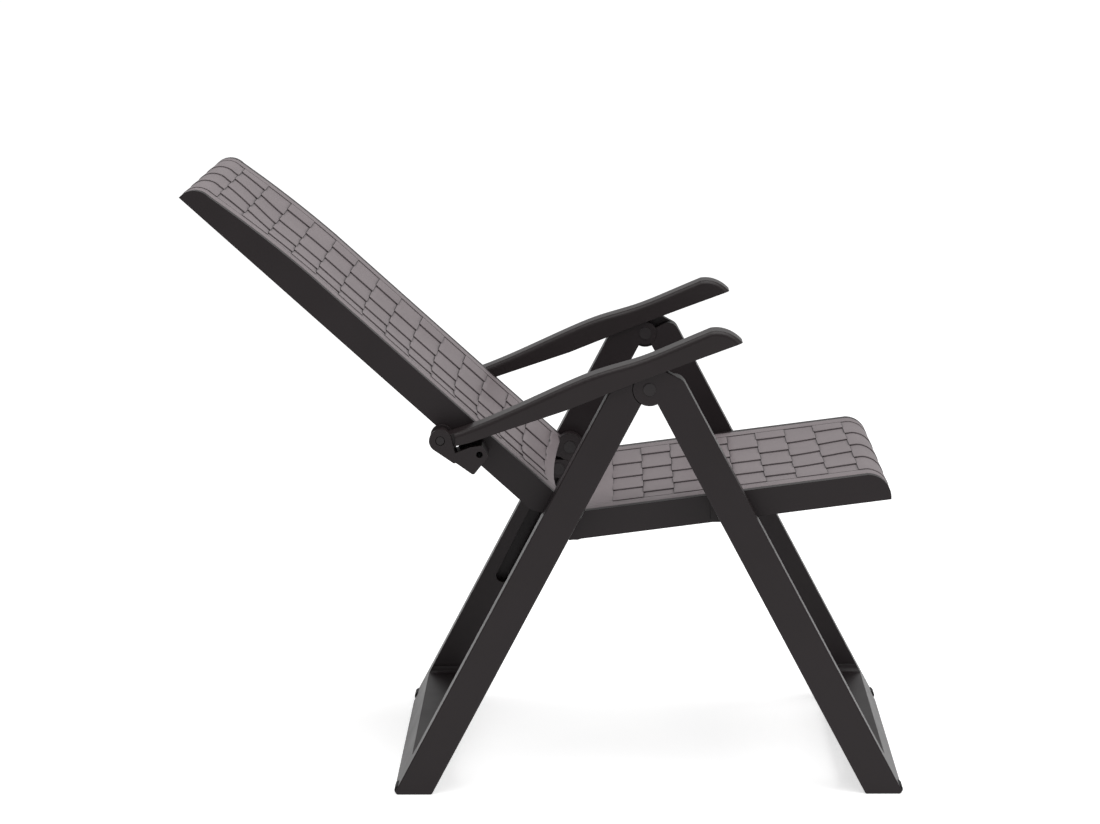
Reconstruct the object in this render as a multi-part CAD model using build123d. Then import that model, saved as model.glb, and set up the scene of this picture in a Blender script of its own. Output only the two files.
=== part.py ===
"""Reclining garden armchair in moulded resin, with a folding leg frame.

Millimetres. X points to the front, Y to the sitter's left, Z up from the floor.
The chair stands open with its back at the lowest of five notches.
Side pieces are drawn for the right-hand side, at negative Y, and mirrored.
"""
from build123d import *
from math import atan2, cos, degrees, hypot, radians, sin, tan
import os

# The hub, where front and rear legs cross
hub_x = 146.64
hub_z = 573.3
front_lean = 27.7
rear_lean = 28.1
fold_angle = 50.0

# Legs
leg_inner = 260.0
leg_depth = 40.0
leg_width = 47.2
leg_edge_round = 2.0
leg_foot_round = 4.0
hub_radius = leg_width / 2
rear_hub_radius = 17.4
front_head_round = 16.0
rear_head_round = 14.0
rear_head_drop = 20.0

# Clearances and overruns
gap = 0.3
fit = 0.05
overrun = 5.0
right_angle = 90.0
upright_share = 0.5
bend_steps = 4

# Foot rails
rail_height = 45.0
rail_fillet = 12.0
rail_wall = 4.0
pad_height = 12.0
pad_length = 26.0
pad_proud = 2.2
pad_width = 30.0

# Hub pins and the pegs that the armrests hook over
hub_pin_radius = 5.0
hub_head_radius = 9.0
hub_head_thickness = 1.3
peg_radius = 6.0
peg_rise = 24.0
peg_boss_radius = 12.0
peg_chamfer = 1.0
peg_inset = 2.0

# Seat, placed from its front hinge
seat_hinge_forward = 101.3
seat_hinge_drop = 179.3
seat_angle = 7.2
seat_fold_ratio = 1.9
seat_top = 25.3
seat_bottom = -13.2
seat_front = 235.9
seat_front_flat = 208.0
seat_front_shoulder = 228.5
seat_front_drop = 14.5
seat_rear = -217.0
seat_rear_top = -190.0
side_clear = 5.0
side_rail = 24.0
rail_skin = 4.0
rail_rim = 15.0
panel_thickness = 4.0

# Hinge block and pin at the front of the seat
block_length = 32.0
block_height = 28.0
block_round = 4.0
seat_pin_radius = 4.0
seat_pin_depth = 22.0
seat_boss_radius = 11.0

# The seat's rear pins, which slide in slots in the rear legs
slide_along = -236.0
slide_up = 5.0
slide_heel_radius = 14.0
slide_heel_start = -205.0
slot_pin_radius = 6.0
slot_bush_radius = 9.3
slot_half_width = 9.75
slot_pin_inset = 16.0
slot_floor_inset = 14.0
slot_steps = 6

# Recline pivot of the back on the rear legs, placed from the hub
recline_back = 115.7
recline_drop = 170.3
lug_radius = 21.0
pivot_pin_radius = 6.0
pivot_collar_radius = 11.0

# Backrest, drawn along its own length from the recline pivot
back_angle = 137.7
recline_range = 34.0
back_rear_face = -37.5
back_front_face = 2.5
back_length = 685.0
back_rear_start = 33.0
bend_start_run = 205.0
bend_middle_run = 95.0
bend_middle_depth = -3.0
bend_end_run = 30.0
bend_end_depth = -9.4
crest_run = 6.0
crest_depth = -19.6

# Woven panels
weave_length = 43.5
weave_side = 32.0
weave_half_count = 4
weave_slot_width = 2.4
weave_groove = 1.2
weave_margin = 8.0
seat_band_length = 63.4
back_band_length = 53.9
rib_thickness = 4.0
rib_clear = 5.0
seat_rib_positions = (-140.0, -20.0, 100.0, 190.0)
back_rib_positions = (90.0, 215.0, 340.0, 465.0)
seat_rib_dish = 5.6
back_rib_dish = 11.4

# Arm hinge on the back
arm_pivot_radius = 200.0
arm_pivot_lead = 12.1
ear_radius = 15.5
ear_thickness = 6.5
ear_room = 5.5
knuckle_radius = 12.0
arm_bolt_radius = 4.0
bolt_head_radius = 6.5
bolt_head_thickness = 2.5
bolt_head_chamfer = 0.8
bolt_recess = 3.5
bracket_block = ((28.0, -51.4), (25.0, -44.0), (36.0, -22.0), (47.0, -8.0), (64.0, -14.0), (66.0, -46.8))
bracket_round = 3.5
bracket_neck_back = 33.0
bracket_neck_depth = -49.5
bracket_screw_back = 53.0
bracket_screw_depth = -20.0
bracket_screw_radius = 2.5
bracket_screw_head = 4.5
bracket_screw_length = 16.0

# Armrests, drawn from their rear pivot with the line to the peg at peg_angle
arm_wall = 3.0
arm_inner_room = 1.5
arm_outer_room = 3.5
arm_skin = 3.5
arm_edge_round = 7.0
peg_angle = 6.75
arm_top = ((0.0, 4.0), (80.0, 16.0), (189.0, 41.0), (231.0, 48.7), (287.0, 54.0), (352.5, 66.0), (395.0, 74.7))
arm_nose = ((414.0, 70.0), (427.0, 60.5), (434.7, 50.5))
arm_bottom = ((354.0, 38.0), (280.0, 26.0), (177.0, 7.0), (81.0, -5.0), (40.0, -10.5), (0.0, -12.0))
arm_cavity_start = 34.0
notch_count = 5
notch_clear = 0.4
notch_root = 13.4
rack_inset = 3.0
rack_overhang = 13.0

leg_outer = leg_inner + leg_depth
lap_plane = leg_inner + leg_depth / 2
side_outer = leg_inner - side_clear
side_inner = side_outer - side_rail
panel_edge = side_outer - rail_rim
arm_inner = leg_inner - arm_inner_room - arm_wall
arm_outer = leg_outer + arm_outer_room + arm_wall
slot_pin_outer = leg_outer - slot_pin_inset
weave_border = panel_edge - weave_side
weave_half_width = weave_border / weave_half_count
bend_start = back_length - bend_start_run
bend_middle = back_length - bend_middle_run
bend_end = back_length - bend_end_run
crest_along = back_length - crest_run
arm_pivot_along = arm_pivot_radius * cos(radians(arm_pivot_lead))


def move(point, angle, distance):
    """The point reached from another by going a distance at an angle."""
    return point[0] + distance * cos(radians(angle)), point[1] + distance * sin(radians(angle))


def frame_point(origin, angle, along, up):
    """A point given along and across a line that leaves the origin at an angle."""
    return move(move(origin, angle, along), angle + right_angle, up)


def turned(point, centre, angle):
    """A point turned about a centre, anticlockwise in the side view."""
    reach = hypot(point[0] - centre[0], point[1] - centre[1])
    bearing = degrees(atan2(point[1] - centre[1], point[0] - centre[0]))
    return move(centre, bearing + angle, reach)


hub = (hub_x, hub_z)
peg = (hub[0], hub[1] + peg_rise)
seat_hinge = (hub[0] + seat_hinge_forward, hub[1] - seat_hinge_drop)
recline = (hub[0] - recline_back, hub[1] - recline_drop)
arm_pivot = move(recline, back_angle + arm_pivot_lead, arm_pivot_radius)


def bearing(start, end):
    """The angle of the line from one point to another."""
    return degrees(atan2(end[1] - start[1], end[0] - start[0]))


arm_angle = bearing(arm_pivot, peg) - peg_angle


def seat_point(along, up):
    return frame_point(seat_hinge, seat_angle, along, up)


def back_point(along, out):
    """A point on the back, along it from the pivot and out towards the sitter."""
    return frame_point(recline, back_angle, along, -out)


def arm_point(along, up):
    return frame_point(arm_pivot, arm_angle, along, up)


def front_point(along, across):
    """A point on the front leg, down it from the hub and out from its inner edge."""
    return frame_point(hub, front_lean - right_angle, along, across)


def rear_point(along, across):
    return frame_point(hub, -right_angle - rear_lean, along, -across)


def slab(face, inner, outer):
    """The side view pulled out between two distances from the middle of the chair."""
    return extrude(Plane.XZ.offset(inner) * face, outer - inner)


def disc(centre, radius):
    return Pos(*centre) * Circle(radius)


def polygon(points):
    return make_face(Polyline(*points, close=True))


def hull(*discs):
    """The outline that a band would take when stretched round the discs."""
    return make_hull([edge for item in discs for edge in item.edges()])


def rod(centre, radius, inner, outer):
    return slab(disc(centre, radius), inner, outer)


def other_side(solid):
    return mirror(solid, about=Plane.XZ)


def group(solids):
    return Compound(children=list(solids))


def pair(solid):
    return group([solid, other_side(solid)])


def rounded_edges(solid, level, radius):
    """The edges of a side piece that lie at one distance from the middle, made round."""
    edges = solid.edges().filter_by(Plane.XZ).group_by(Axis.Y)
    found = [e for g in edges for e in g if abs(abs(e.center().Y) - level) < fit]
    return fillet(found, radius)


def floor_reach(lean, across):
    """How far down a leg the floor lies, at a distance across it."""
    return (hub_z + across * sin(radians(lean))) / cos(radians(lean))


def leg_outline(place, lean, top):
    """A straight leg from the head down to the floor, with small rounds at the foot."""
    foot = [place(floor_reach(lean, 0), 0), place(floor_reach(lean, leg_width), leg_width)]
    face = polygon([place(0, 0), foot[0], foot[1]] + top)
    corners = face.vertices().sort_by(Axis.Y)[:2]
    return fillet(corners, leg_foot_round)


def pad_outline(side, lean):
    """A glide let into the outer corner of a foot, seen from the side."""
    radius = pad_height / 2
    edge = hub_x + side * (hub_z - radius) * tan(radians(lean)) + side * leg_width / cos(radians(lean))
    outer = edge + side * (pad_proud - radius)
    return hull(disc((outer, radius), radius), disc((outer - side * (pad_length - pad_height), radius), radius))


def pad_cut(side, lean):
    inner = lap_plane - pad_width / 2
    return slab(pad_outline(side, lean), inner, inner + pad_width)


def head_zone(place):
    """Everything but the corner between the legs, where the other leg folds in."""
    far = 2 * leg_width
    return polygon([place(s, o) for s, o in ((0, 0), (far, 0), (far, far), (-far, far), (-far, -far), (0, -far))])


def front_leg():
    corner = front_point(front_head_round, leg_width - front_head_round)
    top = [front_point(front_head_round, leg_width), corner, front_point(0, leg_width - front_head_round)]
    face = leg_outline(front_point, front_lean, top) + disc(corner, front_head_round)
    leg = slab(face, leg_inner, leg_outer)
    leg = rounded_edges(leg, leg_outer, leg_edge_round)
    lobes = [disc(hub, hub_radius), disc(peg, peg_boss_radius), disc(corner, front_head_round)]
    head = hull(lobes[0], lobes[1]) + hull(lobes[1], lobes[2]) + hull(lobes[2], lobes[0])
    head = head & head_zone(front_point)
    leg += rounded_edges(slab(head + disc(hub, hub_radius), lap_plane + gap / 2, leg_outer), leg_outer, leg_edge_round)
    leg -= rod(hub, rear_hub_radius + gap, leg_inner - overrun, lap_plane + gap / 2)
    leg -= rod(hub, hub_pin_radius + fit, leg_inner - overrun, leg_outer + overrun)
    leg -= rod(peg, peg_radius, lap_plane - overrun, leg_outer + overrun)
    leg -= rod(seat_hinge, seat_pin_radius, leg_inner - overrun, leg_inner + seat_pin_depth)
    return leg - pad_cut(1, front_lean)


def slide_place():
    """The middle of the seat's rear pins."""
    return seat_point(slide_along, slide_up)


def slot_path():
    """Where those pins lie on the rear leg, from the open frame to the folded one."""
    places = []
    for step in range(slot_steps + 1):
        fold = fold_angle * step / slot_steps
        swung = turned(slide_place(), seat_hinge, seat_fold_ratio * fold)
        places.append(turned(swung, hub, -fold))
    return places


def slot_outline():
    """The groove that a pin's bush needs to run along that path."""
    places = slot_path()
    groove = disc(places[0], slot_half_width)
    for start, end in zip(places, places[1:]):
        groove += hull(disc(start, slot_half_width), disc(end, slot_half_width))
    return groove


def rear_leg():
    start = rear_head_drop + rear_head_round
    corner = rear_point(start, leg_width - rear_head_round)
    top = [rear_point(start, leg_width), corner]
    face = leg_outline(rear_point, rear_lean, top)
    face += hull(disc(hub, rear_hub_radius), disc(corner, rear_head_round)) & head_zone(rear_point)
    face += disc(hub, rear_hub_radius)
    leg = slab(face, leg_inner, leg_outer)
    leg = rounded_edges(leg, leg_outer, leg_edge_round)
    leg -= rod(hub, hub_radius + gap, lap_plane - gap / 2, leg_outer + overrun)
    leg -= rod(hub, hub_pin_radius + fit, leg_inner - overrun, leg_outer + overrun)
    leg -= rod(recline, pivot_pin_radius, leg_inner - overrun, slot_pin_outer)
    leg -= slab(slot_outline(), leg_inner - overrun, leg_outer - slot_floor_inset)
    return leg - pad_cut(-1, rear_lean)


def foot_outline(lean, side, low, high, inset):
    """The part of a leg's side view between two heights, drawn in from its edges."""
    slope = tan(radians(lean))
    width = leg_width / cos(radians(lean))
    points = []
    for height, across in ((low, inset), (high, inset), (high, width - inset), (low, width - inset)):
        points.append((hub_x + side * ((hub_z - height) * slope + across), height))
    return polygon(points)


def foot_rail(lean, side):
    """The cross rail at the floor, which rises in a round where it meets each leg."""
    top = rail_height + rail_fillet
    span = slab(foot_outline(lean, side, 0, top, 0), -leg_inner, leg_inner)
    scoop = Pos(0, top) * Rectangle(2 * leg_inner, 2 * rail_fillet)
    scoop = fillet(scoop.vertices().sort_by(Axis.Y)[:2], rail_fillet)
    across = 4 * leg_inner
    span -= extrude(Plane.YZ * scoop, across, both=True)
    hollow = foot_outline(lean, side, -overrun, rail_height - rail_wall, rail_wall)
    return span - slab(hollow, rail_wall - leg_inner, leg_inner - rail_wall)


def hub_pin():
    pin = rod(hub, hub_pin_radius, leg_inner, leg_outer)
    pin += rod(hub, hub_head_radius, leg_inner - hub_head_thickness, leg_inner)
    head = rod(hub, hub_head_radius, leg_outer, leg_outer + hub_head_thickness)
    return pin + chamfer(head.edges().sort_by(Axis.Y)[:1], hub_head_thickness / 2)


def rest_peg():
    pin = rod(peg, peg_radius, leg_inner + peg_inset, leg_outer)
    return chamfer(pin.edges().sort_by(Axis.Y)[-1:], peg_chamfer)


def seat_block():
    """A square hinge block on the inner face of the front leg."""
    face = Pos(*seat_hinge) * RectangleRounded(block_length, block_height, block_round)
    block = slab(face, side_outer + gap, leg_inner)
    return block - rod(seat_hinge, seat_pin_radius, side_outer, leg_inner)


def seat_pin():
    inner = side_inner + rail_skin
    return rod(seat_hinge, seat_pin_radius, inner, leg_inner + seat_pin_depth)


def seat_top_path():
    flat = Line(seat_point(seat_rear_top, seat_top), seat_point(seat_front_flat, seat_top))
    nose = ThreePointArc(seat_point(seat_front_flat, seat_top),
                         seat_point(seat_front_shoulder, seat_front_drop),
                         seat_point(seat_front, seat_bottom))
    return Wire([flat, nose])


def back_top_path():
    flat = Line(back_point(lug_radius, back_front_face), back_point(bend_start, back_front_face))
    bend = ThreePointArc(back_point(bend_start, back_front_face),
                         back_point(bend_middle, bend_middle_depth),
                         back_point(bend_end, bend_end_depth))
    crest = ThreePointArc(back_point(bend_end, bend_end_depth),
                          back_point(crest_along, crest_depth),
                          back_point(back_length, back_rear_face))
    return Wire([flat, bend, crest])


def closed(path, *points):
    """A face between a path and straight lines through some points."""
    ends = [path @ 1] + [Vector(*p) for p in points] + [path @ 0]
    lines = [Line(a, b) for a, b in zip(ends, ends[1:])]
    return make_face(Wire(list(path.edges()) + lines))


def seat_outline():
    base = closed(seat_top_path(), seat_point(seat_rear, seat_bottom))
    heel = hull(disc(slide_place(), slide_heel_radius), disc(seat_point(slide_heel_start, 0), slide_heel_radius))
    return base + heel - disc(recline, lug_radius + gap)


def back_outline():
    base = closed(back_top_path(), back_point(back_rear_start, back_rear_face),
                  back_point(0, -lug_radius), back_point(0, back_front_face))
    return base + disc(recline, lug_radius)


def facet_marks(path):
    """Distances along a path at which a faceted strip may bend."""
    marks = [0.0]
    total = 0.0
    for edge in path.edges():
        steps = 1 if edge.geom_type == GeomType.LINE else bend_steps
        for step in range(steps):
            total += edge.length / steps
            marks.append(total)
    return marks


def strip(path, turn, marks, low, high):
    sides = []
    for depth in (low, high):
        side = []
        for mark in marks:
            share = min(mark / path.length, 1)
            spot, heading = path @ share, path % share
            side.append((spot.X - turn * depth * heading.Y, spot.Y + turn * depth * heading.X))
        sides.append(side)
    return polygon(sides[0] + sides[1][::-1])


def band_cut(path, turn, start, end, depth, inner, outer):
    """A cut into a panel's face, along a stretch of its path and between two distances across."""
    marks = [start] + [mark for mark in facet_marks(path) if start < mark < end] + [end]
    return slab(strip(path, turn, marks, -depth, panel_thickness), inner, outer)


def weave_lines(row):
    """Where the slots of a row lie across the panel, staggered in every other row."""
    reach = weave_half_count - row % 2
    return [half * weave_half_width for half in range(-reach, reach + 1, 2)]


def woven_panel(path, turn, band_length):
    """A moulded sheet marked like wide bands woven over and under, plain beyond its last row."""
    finish = path.length - band_length
    panel = slab(strip(path, turn, facet_marks(path), -panel_thickness, 0), -panel_edge, panel_edge)
    half = weave_slot_width / 2
    through = 2 * panel_thickness
    cuts = []
    for line in weave_lines(0):
        cuts.append(band_cut(path, turn, finish, path.length - weave_margin, weave_groove, line - half, line + half))
    for row in range(1, int((finish - weave_margin) // weave_length) + 1):
        start = finish - row * weave_length
        end = start + weave_length
        for line in weave_lines(row):
            cuts.append(band_cut(path, turn, start, end, through, line - half, line + half))
        for line in weave_lines(row - 1):
            if line > -weave_border:
                cuts.append(band_cut(path, turn, end - half, end + half, weave_groove, line - weave_half_width, line))
        if row % 2:
            for line in (-weave_border, weave_border):
                cuts.append(band_cut(path, turn, start - half, end + half, weave_groove, line - half / 2, line + half / 2))
    return panel - cuts


def ledge(path, turn):
    """What the panel takes out of each side rail."""
    marks = facet_marks(path)
    return slab(strip(path, turn, marks, -panel_thickness, panel_thickness), side_inner - overrun, panel_edge)


def seat_rail():
    rail = slab(seat_outline(), side_inner, side_outer)
    rail -= ledge(seat_top_path(), 1)
    hollow = polygon([seat_point(a, u) for a, u in (
        (seat_rear_top, seat_bottom + rail_skin), (seat_front - 2 * lug_radius, seat_bottom + rail_skin),
        (seat_front - 2 * lug_radius, seat_top - panel_thickness - rail_skin),
        (seat_rear_top, seat_top - panel_thickness - rail_skin))])
    hollow -= disc(seat_hinge, seat_boss_radius)
    rail -= slab(hollow, side_inner - overrun, side_outer - rail_skin)
    rail -= rod(slide_place(), slot_pin_radius, side_inner - overrun, side_outer + overrun)
    return rail - rod(seat_hinge, seat_pin_radius + fit, side_inner - overrun, side_outer + overrun)


def back_rail():
    rail = slab(back_outline(), side_inner, side_outer)
    rail -= ledge(back_top_path(), -1)
    inset = rail_skin + panel_thickness
    hollow = polygon([back_point(a, u) for a, u in (
        (2 * lug_radius, back_rear_face + rail_skin), (bend_middle, back_rear_face + rail_skin),
        (bend_middle, bend_middle_depth - inset), (2 * lug_radius, back_front_face - inset))])
    rail -= slab(hollow, side_inner - overrun, side_outer - rail_skin)
    rail -= rod(recline, pivot_pin_radius + fit, side_inner - overrun, side_outer + overrun)
    return rail - rod(bracket_screw_place(), bracket_screw_radius, side_outer - rail_skin - overrun, side_outer)


def rib(start, lean, low, high, dish):
    """A stiffening rib between the side rails, dished along its top to clear the sagging panel."""
    place = Plane(origin=(start[0], 0, start[1]), x_dir=(0, 1, 0), z_dir=(cos(radians(lean)), 0, sin(radians(lean))))
    sag = ThreePointArc((-weave_border, high), (0, high - dish), (weave_border, high))
    corners = [(weave_border, high), (side_inner, high), (side_inner, low),
               (-side_inner, low), (-side_inner, high), (-weave_border, high)]
    lines = [Line(a, b) for a, b in zip(corners, corners[1:])]
    return extrude(place * make_face(Wire([sag] + lines)), rib_thickness)


def seat_ribs():
    low, high = seat_bottom + rib_clear, seat_top - panel_thickness
    return group([rib(seat_point(a - rib_thickness / 2, 0), seat_angle, low, high, seat_rib_dish)
                  for a in seat_rib_positions])


def back_ribs():
    low, high = -back_rear_face - rib_clear, panel_thickness - back_front_face
    return group([rib(back_point(a - rib_thickness / 2, 0), back_angle, low, high, -back_rib_dish)
                  for a in back_rib_positions])


def slot_pin():
    pin = rod(slide_place(), slot_pin_radius, side_inner, slot_pin_outer)
    return pin + rod(slide_place(), hub_head_radius, side_inner - hub_head_thickness, side_inner)


def slot_bush():
    bush = rod(slide_place(), slot_bush_radius, side_outer, slot_pin_outer)
    return bush - rod(slide_place(), slot_pin_radius, side_outer, slot_pin_outer + overrun)


def pivot_pin():
    """A shouldered pin, fixed in the rear leg, that the back turns on."""
    pin = rod(recline, pivot_pin_radius, side_inner - gap, slot_pin_outer)
    pin += rod(recline, pivot_collar_radius, side_outer + gap, leg_inner)
    return pin + rod(recline, hub_head_radius, side_inner - gap - hub_head_thickness, side_inner - gap)


def bracket_screw_place():
    return back_point(arm_pivot_along - bracket_screw_back, bracket_screw_depth)


def arm_bracket():
    """A fork on the outer side of the back, with two ears round the arm's rear knuckle."""
    face = polygon([back_point(arm_pivot_along - a, n) for a, n in bracket_block])
    face = fillet(face.vertices(), bracket_round)
    bracket = slab(face, side_outer, arm_outer)
    foot = back_point(arm_pivot_along - bracket_neck_back, bracket_neck_depth)
    ear = hull(disc(arm_pivot, ear_radius), disc(foot, bracket_round))
    bracket += slab(ear, side_outer, side_outer + ear_thickness)
    bracket += slab(ear, arm_outer - ear_thickness, arm_outer)
    bracket -= rod(arm_pivot, arm_bolt_radius + fit, side_outer - overrun, arm_outer + overrun)
    bracket -= rod(arm_pivot, bolt_head_radius + fit, arm_outer - bolt_recess, arm_outer + overrun)
    screw = bracket_screw_place()
    bracket -= rod(screw, bracket_screw_radius, side_outer - overrun, arm_outer + overrun)
    return bracket - rod(screw, bracket_screw_head + fit, side_outer + ear_thickness, arm_outer + overrun)


def bracket_screw():
    """A screw sunk deep in the bracket, through to the side rail of the back."""
    outer = side_outer + ear_thickness
    screw = rod(bracket_screw_place(), bracket_screw_radius, outer - bracket_screw_length, outer)
    head = rod(bracket_screw_place(), bracket_screw_head, outer, outer + bracket_screw_radius)
    return screw + chamfer(head.edges().sort_by(Axis.Y)[:1], bracket_screw_radius / 2)


def arm_bolt():
    seat = arm_outer - bolt_recess
    bolt = rod(arm_pivot, arm_bolt_radius, side_outer + gap, seat)
    head = rod(arm_pivot, bolt_head_radius, seat, seat + bolt_head_thickness)
    return bolt + chamfer(head.edges().sort_by(Axis.Y)[:1], bolt_head_chamfer)


def arm_outline(inset):
    """The armrest from the side, or the same drawn in from its top for the hollow inside."""
    top = [arm_point(x, y - inset) for x, y in arm_top]
    nose = [arm_point(x - inset, y - inset) for x, y in arm_nose]
    crown = Spline(*top)
    front = Spline(top[-1], *nose)
    points = [nose[-1]] + [arm_point(x, y) for x, y in arm_bottom] + [top[0]]
    lines = [Line(a, b) for a, b in zip(points, points[1:])]
    return make_face(Wire([crown, front] + lines))


def arm_hollow():
    """The space inside the armrest, which runs out below it."""
    start, end, deep = arm_cavity_start, arm_nose[1][0], leg_width
    ends = polygon([arm_point(x, y) for x, y in ((start, -deep), (end, -deep), (end, 2 * deep), (start, 2 * deep))])
    rim = [arm_point(x, y) for x, y in arm_bottom[:-1]]
    below = polygon([arm_point(end, arm_nose[2][1])] + rim + [arm_point(start, arm_bottom[-1][1]),
                    arm_point(start, -deep), arm_point(end, -deep)])
    return slab((arm_outline(arm_skin) & ends) + below, arm_inner + arm_wall, arm_outer - arm_wall)


def armrest():
    """A crowned channel, open below, that rides over the heads of the legs."""
    arm = slab(arm_outline(0), arm_inner, arm_outer)
    arm = crowned(arm)
    arm -= arm_hollow()
    ear_zones = ((arm_inner - overrun, side_outer + ear_thickness + gap),
                 (arm_outer - ear_thickness - gap, arm_outer + overrun))
    for inner, outer in ear_zones:
        arm -= rod(arm_pivot, ear_radius + ear_room, inner, outer)
    arm += rod(arm_pivot, knuckle_radius, ear_zones[0][1], ear_zones[1][0])
    return arm - rod(arm_pivot, arm_bolt_radius + fit, arm_inner - overrun, arm_outer + overrun)


def crowned(arm):
    """Round the long top edges of the armrest."""
    limit = arm_point(arm_top[0][0] / 2, 0)[0]
    top = arm.faces().filter_by(lambda f: f.normal_at().Z > upright_share and f.center().X > limit)
    edges = [e for f in top for e in f.edges() if abs(abs(e.center().Y) - arm_outer) < fit
             or abs(abs(e.center().Y) - arm_inner) < fit]
    return fillet(edges, arm_edge_round)


def peg_distances():
    """How far the peg lies from the arm's pivot at each of the notches of the back."""
    distances = []
    for step in range(notch_count):
        lean = recline_range * step / (notch_count - 1)
        pivot = turned(arm_pivot, recline, -lean)
        distances.append(hypot(peg[0] - pivot[0], peg[1] - pivot[1]))
    return distances


def rack_point(along, up):
    return frame_point(arm_pivot, arm_angle + peg_angle, along, up)


def notch_rack():
    """The row of notches under the armrest that drops over the peg."""
    reaches = peg_distances()
    tips = peg_radius + gap
    start, end = min(reaches) - rack_overhang, max(reaches) + rack_overhang
    face = polygon([rack_point(a, u) for a, u in (
        (start, tips), (end, tips), (end, leg_width), (start, leg_width))])
    face &= arm_outline(arm_skin)
    radius = peg_radius + notch_clear
    for reach in reaches:
        face -= hull(disc(rack_point(reach, notch_root - radius), radius), disc(rack_point(reach, 0), radius))
    return slab(face, leg_inner + rack_inset, lap_plane - gap)


def save(name, shape):
    export_step(shape, os.path.join("parts", name + ".step"))


def save_sides(name, solid):
    save(name + "_right", solid)
    save(name + "_left", other_side(solid))


def build():
    os.makedirs("parts", exist_ok=True)
    save_sides("front_leg", front_leg())
    save("front_foot_rail", foot_rail(front_lean, 1))
    save("front_foot_pads", pair(pad_cut(1, front_lean)))
    save("hub_pins", pair(hub_pin()))
    save("rest_pegs", pair(rest_peg()))
    save("seat_hinge_blocks", pair(seat_block()))
    save("seat_hinge_pins", pair(seat_pin()))
    save_sides("rear_leg", rear_leg())
    save("rear_foot_rail", foot_rail(rear_lean, -1))
    save("rear_foot_pads", pair(pad_cut(-1, rear_lean)))
    save("seat_panel", woven_panel(seat_top_path(), 1, seat_band_length))
    save_sides("seat_rail", seat_rail())
    save("seat_ribs", seat_ribs())
    save("slot_pins", pair(slot_pin()))
    save("slot_bushes", pair(slot_bush()))
    save("back_pivot_pins", pair(pivot_pin()))
    save("back_panel", woven_panel(back_top_path(), -1, back_band_length))
    save_sides("back_rail", back_rail())
    save("back_ribs", back_ribs())
    save_sides("arm_bracket", arm_bracket())
    save("bracket_screws", pair(bracket_screw()))
    save_sides("arm_bolt", arm_bolt())
    save_sides("armrest", armrest())
    save_sides("notch_rack", notch_rack())


build()
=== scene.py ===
# %% [markdown]
# # A reclining garden armchair in moulded resin
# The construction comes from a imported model, which is loaded below as a fixed frame.
# This script only dresses it: camera, light, the woven panels and all the finishes.
# Everything is in metres, X runs to the front of the chair, Y to the sitter's left and Z up from the floor.

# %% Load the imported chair
import math

import bpy
from mathutils import Matrix, Vector


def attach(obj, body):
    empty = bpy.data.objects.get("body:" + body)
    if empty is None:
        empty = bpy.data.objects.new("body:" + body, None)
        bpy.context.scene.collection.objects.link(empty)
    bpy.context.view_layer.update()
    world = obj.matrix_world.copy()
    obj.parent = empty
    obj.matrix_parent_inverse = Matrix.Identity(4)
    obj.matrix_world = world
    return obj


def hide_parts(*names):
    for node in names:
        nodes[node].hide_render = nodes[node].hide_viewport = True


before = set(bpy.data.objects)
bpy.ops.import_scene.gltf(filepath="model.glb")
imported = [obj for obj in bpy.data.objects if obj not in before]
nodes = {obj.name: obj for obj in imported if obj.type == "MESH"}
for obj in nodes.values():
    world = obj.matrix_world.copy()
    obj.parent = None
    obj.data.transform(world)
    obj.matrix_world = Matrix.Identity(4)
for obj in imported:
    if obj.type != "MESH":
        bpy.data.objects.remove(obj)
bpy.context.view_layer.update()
bpy.ops.object.select_all(action="DESELECT")

# %% [markdown]
# The chair was photographed from its right side, a little from above, with a long lens.
# A long lens keeps the legs nearly parallel, so it is worth setting the real one: the sensor is 36 mm wide
# and the lens 121 mm. The camera could be aimed with a constraint, but a matrix made from its three
# directions is exact and leaves nothing behind. The three angles are in radians: how far the camera looks
# down, how far it turns to one side, and how far it is rolled. The focal length is in pixels of the photograph.

# %% Camera
image_width = 1100
focal_pixels = 3690
sensor_width = 36
camera_place = Vector((0.0893, -5.3135, 1.3492))
camera_down, camera_turn, camera_roll = 0.1595, -0.0159, -0.0062

forward = Vector((math.sin(camera_turn) * math.cos(camera_down),
                  math.cos(camera_turn) * math.cos(camera_down), -math.sin(camera_down)))
level = Vector((math.cos(camera_turn), -math.sin(camera_turn), 0))
upright = level.cross(forward)
right = math.cos(camera_roll) * level + math.sin(camera_roll) * upright
up = math.cos(camera_roll) * upright - math.sin(camera_roll) * level

bpy.ops.object.camera_add()
camera = bpy.context.object
camera.name = "camera"
camera.data.sensor_width = sensor_width
camera.data.lens = focal_pixels / image_width * sensor_width
camera_turned = Matrix((right, up, -forward)).transposed().to_4x4()
camera.matrix_world = Matrix.Translation(camera_place) @ camera_turned
bpy.context.scene.camera = camera
bpy.context.scene.view_settings.view_transform = "Standard"
print("lens:", round(camera.data.lens, 2), "mm")

# %% [markdown]
# Every finish below is a small tree of nodes. One helper adds a node with its settings and links,
# and one turns a colour as it is written for the screen into the linear colour that light adds up in.

# %% Helpers for the finishes
def linear(colour):
    """A hex colour such as #403b3c as linear red, green and blue, with full alpha."""
    shares = [int(colour[place:place + 2], 16) / 255 for place in (1, 3, 5)]
    return tuple(s / 12.92 if s <= 0.04045 else ((s + 0.055) / 1.055) ** 2.4 for s in shares) + (1.0,)


def add_node(tree, kind, inputs=None, **settings):
    """One node, with its settings, and with its inputs given as values or as other nodes' outputs."""
    node = tree.nodes.new(kind)
    for name, value in settings.items():
        setattr(node, name, value)
    for socket, value in (inputs or {}).items():
        if isinstance(value, bpy.types.NodeSocket):
            tree.links.new(value, node.inputs[socket])
        else:
            node.inputs[socket].default_value = value
    return node


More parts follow.
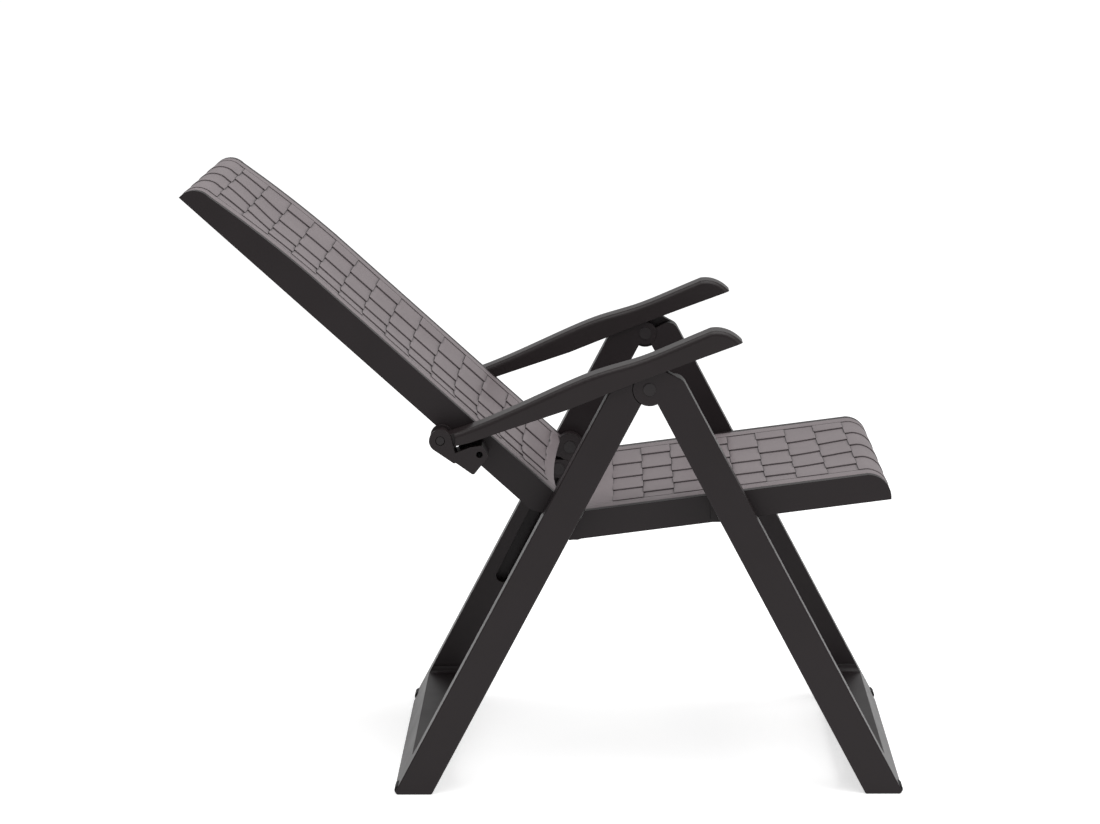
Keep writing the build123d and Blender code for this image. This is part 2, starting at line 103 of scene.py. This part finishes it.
def new_material(name):
    """An empty material and its node tree."""
    material = bpy.data.materials.new(name)
    material.use_nodes = True
    material.node_tree.nodes.clear()
    return material, material.node_tree


millimetre = 0.001

# %% [markdown]
# The frame of the real chair is polypropylene, moulded in a steel tool with a fine spark-eroded grain.
# That gives a dark satin surface: soft highlights along the edges, a grain that is only seen close up, and
# slight clouds where the melt flowed. Flat colour would look like paper, so two noises in real millimetres
# drive it: a broad one shifts colour and gloss a little, and a fine one raises the grain. The real grain is
# about half a millimetre, too fine for this picture, so it is drawn at 1.6 mm. A bevel node rounds the
# edges for the light alone, as the tool's own small radii do. The grain also breaks up reflections, so the
# specular level is lower than polished plastic would have.
# Where bands meet, the colour is darkened as painted shade. An ambient occlusion node that looks only a few
# millimetres around finds those places, and the painted shade is laid there. It is left out where its reach is
# 0.

# %% Moulded resin
cloud_width = 70 * millimetre
gloss_spread = 0.05
resin_ior = 1.49
grainy_specular = 0.25
# The colour of the painted shade in crevices, and how open a spot must be to escape it.
painted_crevice_shade = "#141112"
crevice_openness, clear_openness = 0.5, 0.97
least_colour = 0.05


def moulded_resin(name, dark, light, roughness, grain=1.6, grain_depth=0.05, edge=0.8, painted_shade_reach=0):
    """Satin polypropylene. Grain, edge and the reach of the painted crevice shade are in millimetres."""
    material, tree = new_material(name)
    place = add_node(tree, "ShaderNodeTexCoord").outputs["Object"]
    clouds = add_node(tree, "ShaderNodeTexNoise", {"Vector": place, "Scale": 1 / cloud_width,
                                                   "Detail": 3.0, "Roughness": 0.55})
    shade = add_node(tree, "ShaderNodeMix", {"Factor": clouds.outputs["Fac"]}, data_type="RGBA")
    shade.inputs["A"].default_value = linear(dark)
    shade.inputs["B"].default_value = linear(light)
    colour = shade.outputs["Result"]
    # Painted shade: the colour is darkened in crevices that ambient occlusion finds.
    if painted_shade_reach:
        open_sky = add_node(tree, "ShaderNodeAmbientOcclusion", {"Distance": painted_shade_reach * millimetre},
                            only_local=True, samples=8)
        depth = add_node(tree, "ShaderNodeMapRange", {"Value": open_sky.outputs["AO"],
                                                      "From Min": crevice_openness,
                                                      "From Max": clear_openness, "To Min": least_colour})
        painted_shade = add_node(tree, "ShaderNodeMix", {"Factor": depth.outputs["Result"]}, data_type="RGBA")
        painted_shade.inputs["A"].default_value = linear(painted_crevice_shade)
        tree.links.new(colour, painted_shade.inputs["B"])
        colour = painted_shade.outputs["Result"]
    gloss = add_node(tree, "ShaderNodeMapRange", {"Value": clouds.outputs["Fac"],
                                                  "To Min": roughness - gloss_spread,
                                                  "To Max": roughness + gloss_spread})
    grain_noise = add_node(tree, "ShaderNodeTexNoise", {"Vector": place, "Scale": 1 / (grain * millimetre),
                                                        "Detail": 2.0, "Roughness": 0.6})
    rounded = add_node(tree, "ShaderNodeBevel", {"Radius": edge * millimetre}, samples=4)
    relief = add_node(tree, "ShaderNodeBump", {"Height": grain_noise.outputs["Fac"], "Strength": 0.6,
                                               "Distance": grain_depth * millimetre,
                                               "Normal": rounded.outputs["Normal"]})
    surface = add_node(tree, "ShaderNodeBsdfPrincipled",
                       {"Base Color": colour, "Roughness": gloss.outputs["Result"], "IOR": resin_ior,
                        "Specular IOR Level": grainy_specular, "Normal": relief.outputs["Normal"]})
    add_node(tree, "ShaderNodeOutputMaterial", {"Surface": surface.outputs["BSDF"]})
    return material


frame_resin = moulded_resin("polypropylene_graphite", "#181213", "#201a1c", 0.42)
arm_resin = moulded_resin("polypropylene_graphite_arm", "#191314", "#221c1d", 0.38)
# The weave's resin carries painted shade in the slots between its plates, reaching 5 mm.
woven_resin = moulded_resin("polypropylene_weave_relief", "#6c6466", "#7b7375", 0.48, edge=0.5, painted_shade_reach=5)
glide_rubber = moulded_resin("foot_glide_polyethylene", "#121011", "#1a1718", 0.6, grain=2.2, edge=0.6)
bush_resin = moulded_resin("acetal_bush", "#202022", "#2b2b2e", 0.33, edge=0.4)
pin_resin = moulded_resin("glass_filled_nylon_pin", "#1d1a1b", "#292526", 0.36, grain=1.2, edge=0.5)
resins = (frame_resin, arm_resin, woven_resin, glide_rubber, bush_resin, pin_resin)
print("resins:", [resin.name for resin in resins])

# %% [markdown]
# The pins that show are dark resin, as the photograph has them. The pegs, the screws and the pins inside
# the seat's hinges are zinc-plated steel. Plating keeps the turning marks of the bar under it,
# so the roughness is stretched round the axis, which here is always Y. Object coordinates squeezed along
# two directions give rings that are fine across the pin and long around it.

# %% Plated steel
turning_mark = 0.8 * millimetre
bloom_width = 9 * millimetre
ring_squeeze = (0.06, 1.0, 0.06)


def plated_steel(name, dull, bright, roughness):
    """Zinc-plated steel, turned about an axis along Y."""
    material, tree = new_material(name)
    place = add_node(tree, "ShaderNodeTexCoord").outputs["Object"]
    rings = add_node(tree, "ShaderNodeMapping", {"Vector": place, "Scale": ring_squeeze})
    marks = add_node(tree, "ShaderNodeTexNoise", {"Vector": rings.outputs["Vector"],
                                                  "Scale": 1 / turning_mark, "Detail": 2.0})
    bloom = add_node(tree, "ShaderNodeTexNoise", {"Vector": place, "Scale": 1 / bloom_width, "Detail": 3.0})
    shade = add_node(tree, "ShaderNodeMix", {"Factor": bloom.outputs["Fac"]}, data_type="RGBA")
    shade.inputs["A"].default_value = linear(dull)
    shade.inputs["B"].default_value = linear(bright)
    gloss = add_node(tree, "ShaderNodeMapRange", {"Value": marks.outputs["Fac"], "To Min": roughness - 0.08,
                                                  "To Max": roughness + 0.12})
    surface = add_node(tree, "ShaderNodeBsdfPrincipled",
                       {"Base Color": shade.outputs["Result"], "Metallic": 1.0,
                        "Roughness": gloss.outputs["Result"]})
    add_node(tree, "ShaderNodeOutputMaterial", {"Surface": surface.outputs["BSDF"]})
    return material


steel = plated_steel("zinc_plated_steel", "#8d8f91", "#b4b6b8", 0.3)

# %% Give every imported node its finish
finish_groups = [
    (glide_rubber, ("front_foot_pads", "rear_foot_pads")),
    (bush_resin, ("slot_bushes",)),
    (woven_resin, ("seat_panel", "back_panel")),
    (steel, ("rest_pegs", "seat_hinge_pins", "bracket_screws")),
    (pin_resin, ("hub_pins", "slot_pins", "back_pivot_pins", "arm_bolt_right", "arm_bolt_left")),
    (arm_resin, ("armrest_right", "armrest_left", "notch_rack_right", "notch_rack_left")),
]
finishes = {name: resin for resin, names in finish_groups for name in names}
for name, node in nodes.items():
    node.data.materials.clear()
    node.data.materials.append(finishes.get(name, frame_resin))
print("finished nodes:", len(nodes), "of which in plain frame resin:", len(nodes) - len(finishes))

# %% [markdown]
# Seat and back are one moulded sheet each, whose surface imitates wide bands woven over and under one
# another. Close up it is a brickwork of shallow plates, 104 mm across the chair and 43.5 mm along it, with
# each row shifted by half a plate. Each plate is tipped a little, up at one end and down at the other. So it
# stands above its neighbour along half of each long side and below it along the rest, as a band that goes
# over and under does, and the step shows as a dark line. A texture could fake the lines, but they catch
# light as real steps do, and they must stay put on every side view, so the plates are modelled. One plate
# is a grid whose points are moved to its shape. The sheet is first laid out flat from such plates, which is
# easy to measure, and is then bent along the side view of the seat or back.

# %% Sizes of the weave
# Half plates counts how many lie between the middle of the chair and the side border. The last four are how
# many strips a plate, a long band, a side border and the plain first piece are cut into, so that they bend.
plate_length = 43.5 * millimetre
half_plate = 52.0 * millimetre
half_plates = 4
sheet_edge = 240.0 * millimetre
sheet_thickness = 4.0 * millimetre
slot_half = 1.2 * millimetre
step_height = 0.9 * millimetre
fade_end = 45 * millimetre
fade_length = 110 * millimetre
shortest_strip = 8 * millimetre
weave_border = half_plates * half_plate
plate_strips, band_strips, border_strips, first_strips = 5, 28, 90, 3


def eased(share):
    """Rises from 0 to 1 with a level start and end."""
    share = min(max(share, 0), 1)
    return share * share * (3 - 2 * share)


def plate_lift(along, across):
    """How high a plate's surface stands: up at one end, where it meets a slot, and down at the other."""
    return step_height * math.cos(math.pi * across)


def band_lift(along, across):
    """The same for the long bands beyond the last row, which flatten as they run on over the nose or crest."""
    return step_height * ((1 - along) * math.cos(math.pi * across) + along * (0.5 - across))


# %% One plate
def columns(first, last):
    """Positions across a plate, in half plates from first to last, with points close beside the slots."""
    places = [first * half_plate + slot_half]
    for half in range(first, last):
        places += [(half + share) * half_plate for share in (0.2, 0.4, 0.6, 0.8)]
        slot = (half + 1) * half_plate
        if half + 1 < last:
            places += [slot - slot_half, slot, slot + slot_half]
    return places + [last * half_plate - slot_half]


def level_lift(along, across):
    """The same for the plain strips round the weave, which aren't tipped."""
    return 0


def flat_plate(name, start, end, places, lift=level_lift, shares=(0, 1), strips=plate_strips):
    """A grid from start to end along the sheet, with its points at the given places across it.

    Lift gives the height at a share of the plate's length and width, and shares says which part of a whole
    plate's width this one is, because the plates at the ends of every other row are halves.
    """
    bpy.ops.mesh.primitive_grid_add(x_subdivisions=strips, y_subdivisions=len(places) - 1, size=2)
    plate = bpy.context.object
    plate.name = name
    first_share, last_share = shares
    for point in plate.data.vertices:
        along = (point.co.x + 1) / 2
        place = places[round((point.co.y + 1) / 2 * (len(places) - 1))]
        across = first_share + (place - places[0]) / (places[-1] - places[0]) * (last_share - first_share)
        point.co = (start + along * (end - start), place, lift(along, across))
    return plate


# %% [markdown]
# The side view of each sheet is a straight run and one or two arcs. A list of close points with their
# distance along the line is enough to find any place on it. Blender's Curve modifier can bend a mesh
# along a line too, but it twists where the line turns under, so the points are placed here by the same
# rule that the construction uses: along the line, across the chair, and out from the surface.

# %% The line that a sheet follows
def arc(first, middle, last, steps=14):
    """Points on the circle through three points."""
    a, b, c = (Vector(p) for p in (first, middle, last))
    bend = 2 * ((b - a).x * (c - a).y - (b - a).y * (c - a).x)
    ab, ac = (b - a).length_squared, (c - a).length_squared
    centre = a + Vector((((c - a).y * ab - (b - a).y * ac) / bend, ((b - a).x * ac - (c - a).x * ab) / bend))
    start, end = (math.atan2((p - centre).y, (p - centre).x) for p in (a, c))
    turn = (end - start) % (2 * math.pi)
    turn = turn if bend > 0 else turn - 2 * math.pi
    reach = (a - centre).length
    return [centre + reach * Vector((math.cos(start + turn * s / steps), math.sin(start + turn * s / steps)))
            for s in range(1, steps + 1)]


def placed(origin, degrees, along, out):
    """A point of the side view, given along a line at an angle and out from it."""
    angle = math.radians(degrees)
    run, rise = Vector((math.cos(angle), math.sin(angle))), Vector((-math.sin(angle), math.cos(angle)))
    return Vector(origin) + (along * run + out * rise) * millimetre


def spot_on(line, distance):
    """The place and direction at a distance along a line of points."""
    for first, second in zip(line, line[1:]):
        step = (second - first).length
        if distance <= step or second is line[-1]:
            heading = (second - first).normalized()
            return first + heading * distance, heading
        distance -= step


def line_length(line):
    return sum((second - first).length for first, second in zip(line, line[1:]))


# %% The side views of seat and back
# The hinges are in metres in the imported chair's frame, as x and z. The angles are in degrees. Each place is
# in millimetres along a line from its hinge at that angle, and out from that line.
hub = (0.14664, 0.5733)
seat_hinge = (hub[0] + 0.1013, hub[1] - 0.1793)
back_pivot = (hub[0] - 0.1157, hub[1] - 0.1703)
seat_rise, back_angle = 7.2, 137.7

seat_rear, nose_start = (-190.0, 25.3), (208.0, 25.3)
nose_middle, nose_tip = (228.5, 14.5), (235.9, -13.2)
back_foot, bend_start, bend_middle = (21.0, -2.5), (480.0, -2.5), (590.0, 3.0)
crest_start, crest_middle, crest_tip = (655.0, 9.4), (679.0, 19.6), (685.0, 37.5)
bend_steps = 8

rear, start, middle, tip = (placed(seat_hinge, seat_rise, *place)
                            for place in (seat_rear, nose_start, nose_middle, nose_tip))
seat_line = [rear, start] + arc(start, middle, tip)
foot, start, middle, end = (placed(back_pivot, back_angle, *place)
                            for place in (back_foot, bend_start, bend_middle, crest_start))
back_line = [foot, start] + arc(start, middle, end, bend_steps)
middle, tip = (placed(back_pivot, back_angle, *place) for place in (crest_middle, crest_tip))
back_line += arc(back_line[-1], middle, tip)
print("seat line:", round(line_length(seat_line), 3), "m, back line:", round(line_length(back_line), 3), "m")

# %% Lay the plates out flat
def lay_plates(name, length, finish):
    """All the plates of one sheet, flat: rows up to the finish, long bands beyond it, and plain borders."""
    made = []
    rows = int((finish - shortest_strip) // plate_length)
    first_row = finish - rows * plate_length
    border = weave_border + slot_half
    for row in range(rows):
        start = finish - (row + 1) * plate_length
        end = start + plate_length
        shifted = row % 2 == 0
        reach = half_plates - 1 if shifted else half_plates
        for first in range(-reach, reach, 2):
            made.append(flat_plate(name, start, end, columns(first, first + 2), plate_lift))
        if shifted:
            made.append(flat_plate(name, start, end, columns(-half_plates, -reach), plate_lift, (0.5, 1)))
            made.append(flat_plate(name, start, end, columns(reach, half_plates), plate_lift, (0, 0.5)))
    for first in range(-half_plates, half_plates, 2):
        places = columns(first, first + 2)
        made.append(flat_plate(name, finish, length, places, band_lift, strips=band_strips))
    for edges in ((-sheet_edge, -border), (border, sheet_edge)):
        made.append(flat_plate(name, 0, length, edges, strips=border_strips))
    places = [half_plate / 2 * quarter for quarter in range(1 - 2 * half_plates, 2 * half_plates)]
    made.append(flat_plate(name, 0, first_row, [-border] + places + [border], strips=first_strips))
    return made, rows


# %% [markdown]
# The plates are joined and their shared points merged, so that plates which run into each other are one
# surface. The sheet then gets its hollow: between the side borders it sags, 5 mm on the seat and twice that
# on the back, which is what makes the far lines of the weave stand further apart in the photograph than the
# near ones. The hollow fades out before the nose and the crest, whose outlines are straight across.
# Solidify gives the sheet its 4 mm wall, and a small bevel takes the sharpness off the steps.

# %% Join, bend, hollow and thicken a sheet
merge_distance = 0.02 * millimetre
edge_softness = 0.5 * millimetre
sharp_edge = math.radians(50)
smooth_edge = math.radians(40)


def woven_sheet(name, line, finish, hollow, side):
    """A finished sheet along a line, with its last row of plates ending at the distance called finish.

    Side is 1 where the surface lies to the left of the line's direction, and -1 where it lies to the right.
    """
    length = line_length(line)
    bpy.ops.object.select_all(action="DESELECT")
    made, rows = lay_plates(name, length, finish)
    for piece in made:
        piece.select_set(True)
    bpy.context.view_layer.objects.active = made[0]
    bpy.ops.object.join()
    sheet = bpy.context.object
    bpy.ops.object.mode_set(mode="EDIT")
    bpy.ops.mesh.select_all(action="SELECT")
    bpy.ops.mesh.remove_doubles(threshold=merge_distance)
    if side < 0:
        bpy.ops.mesh.flip_normals()
    bpy.ops.object.mode_set(mode="OBJECT")
    for point in sheet.data.vertices:
        spot, heading = spot_on(line, point.co.x)
        share = min(abs(point.co.y) / weave_border, 1)
        fade = eased((length - point.co.x - fade_end) / fade_length)
        out = side * (point.co.z - hollow * (1 - share * share) * fade)
        point.co = (spot.x - heading.y * out, point.co.y, spot.y + heading.x * out)
    wall = sheet.modifiers.new("wall", "SOLIDIFY")
    wall.thickness = sheet_thickness
    wall.offset = -1
    wall.use_even_offset = False
    soften = sheet.modifiers.new("soft edges", "BEVEL")
    soften.width = edge_softness
    soften.segments = 2
    soften.angle_limit = sharp_edge
    for modifier in ("wall", "soft edges"):
        bpy.ops.object.modifier_apply(modifier=modifier)
    bpy.ops.object.shade_smooth_by_angle(angle=smooth_edge)
    sheet.name = name
    sheet.data.materials.clear()
    sheet.data.materials.append(woven_resin)
    print(name, "rows:", rows, "faces:", len(sheet.data.polygons))
    return sheet


# %% The woven seat and back
seat_finish, seat_hollow = 388 * millimetre, 4.8 * millimetre
back_finish, back_hollow = 627 * millimetre, 10.5 * millimetre

seat_sheet = woven_sheet("woven_seat_sheet", seat_line, seat_finish, seat_hollow, 1)
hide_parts("seat_panel")
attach(seat_sheet, "seat")
back_sheet = woven_sheet("woven_back_sheet", back_line, back_finish, back_hollow, -1)
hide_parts("back_panel")
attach(back_sheet, "backrest")

# %% [markdown]
# The photograph has a plain white ground with only a breath of shadow under the feet. The floor is a large
# white plane. Seen by the camera, in gloss or through glass, it adds a little of its own light so that it
# reads as white, and the shadow stays because that light is added to the lit surface and doesn't replace it.

# %% Floor and white ground
floor_size = 60
floor_grey = (0.8, 0.8, 0.8, 1)
white = (1, 1, 1, 1)
own_light = 0.6
sky_light = 0.55


def seen_or_mirrored(tree, *rays):
    """1 for the light rays of the named kinds, and 0 for the rest."""
    path = add_node(tree, "ShaderNodeLightPath")
    share = path.outputs[rays[0]]
    for ray in rays[1:]:
        either = add_node(tree, "ShaderNodeMath", {0: share, 1: path.outputs[ray]}, operation="MAXIMUM")
        share = either.outputs[0]
    return share


bpy.ops.mesh.primitive_grid_add(x_subdivisions=4, y_subdivisions=4, size=floor_size)
floor = bpy.context.object
floor.name = "studio_floor"
ground, tree = new_material("white_studio_floor")
seen = seen_or_mirrored(tree, "Is Camera Ray", "Is Glossy Ray", "Is Transmission Ray")
matt = add_node(tree, "ShaderNodeBsdfDiffuse", {"Color": floor_grey})
glow_level = add_node(tree, "ShaderNodeMath", {0: seen, 1: own_light}, operation="MULTIPLY")
glow = add_node(tree, "ShaderNodeEmission", {"Strength": glow_level.outputs[0]})
both = add_node(tree, "ShaderNodeAddShader", {0: matt.outputs[0], 1: glow.outputs[0]})
add_node(tree, "ShaderNodeOutputMaterial", {"Surface": both.outputs[0]})
floor.data.materials.append(ground)
print("floor:", floor_size, "m square")

# %% White sky
world = bpy.data.worlds.new("studio")
bpy.context.scene.world = world
world.use_nodes = True
tree = world.node_tree
tree.nodes.clear()
seen = seen_or_mirrored(tree, "Is Camera Ray", "Is Transmission Ray")
sky_level = add_node(tree, "ShaderNodeMapRange", {"Value": seen, "To Min": sky_light, "To Max": 1.0})
sky = add_node(tree, "ShaderNodeBackground", {"Color": white, "Strength": sky_level.outputs["Result"]})
add_node(tree, "ShaderNodeOutputWorld", {"Surface": sky.outputs[0]})
print("sky light on the chair:", sky_light)

# %% [markdown]
# The light is soft and comes mostly from above, a little from the front, as from a large sheet of cloth in
# a photographer's studio. It makes the tops of seat and arms pale and leaves the sides dark.

# %% Soft studio light
def soft_light(name, place, target, size, watts):
    """A square of soft light that looks at a point."""
    bpy.ops.object.light_add(type="AREA", location=place)
    lamp = bpy.context.object
    lamp.name = name
    lamp.data.shape = "SQUARE"
    lamp.data.size = size
    lamp.data.energy = watts
    lamp.rotation_mode = "QUATERNION"
    lamp.rotation_quaternion = (Vector(target) - Vector(place)).to_track_quat("-Z", "Y")
    return lamp


chair_middle = (0.0, 0.0, 0.4)
soft_light("light_above", (0.3, -0.6, 3.4), chair_middle, 3.2, 95)
soft_light("light_front", (3.2, -2.4, 2.2), chair_middle, 2.0, 30)
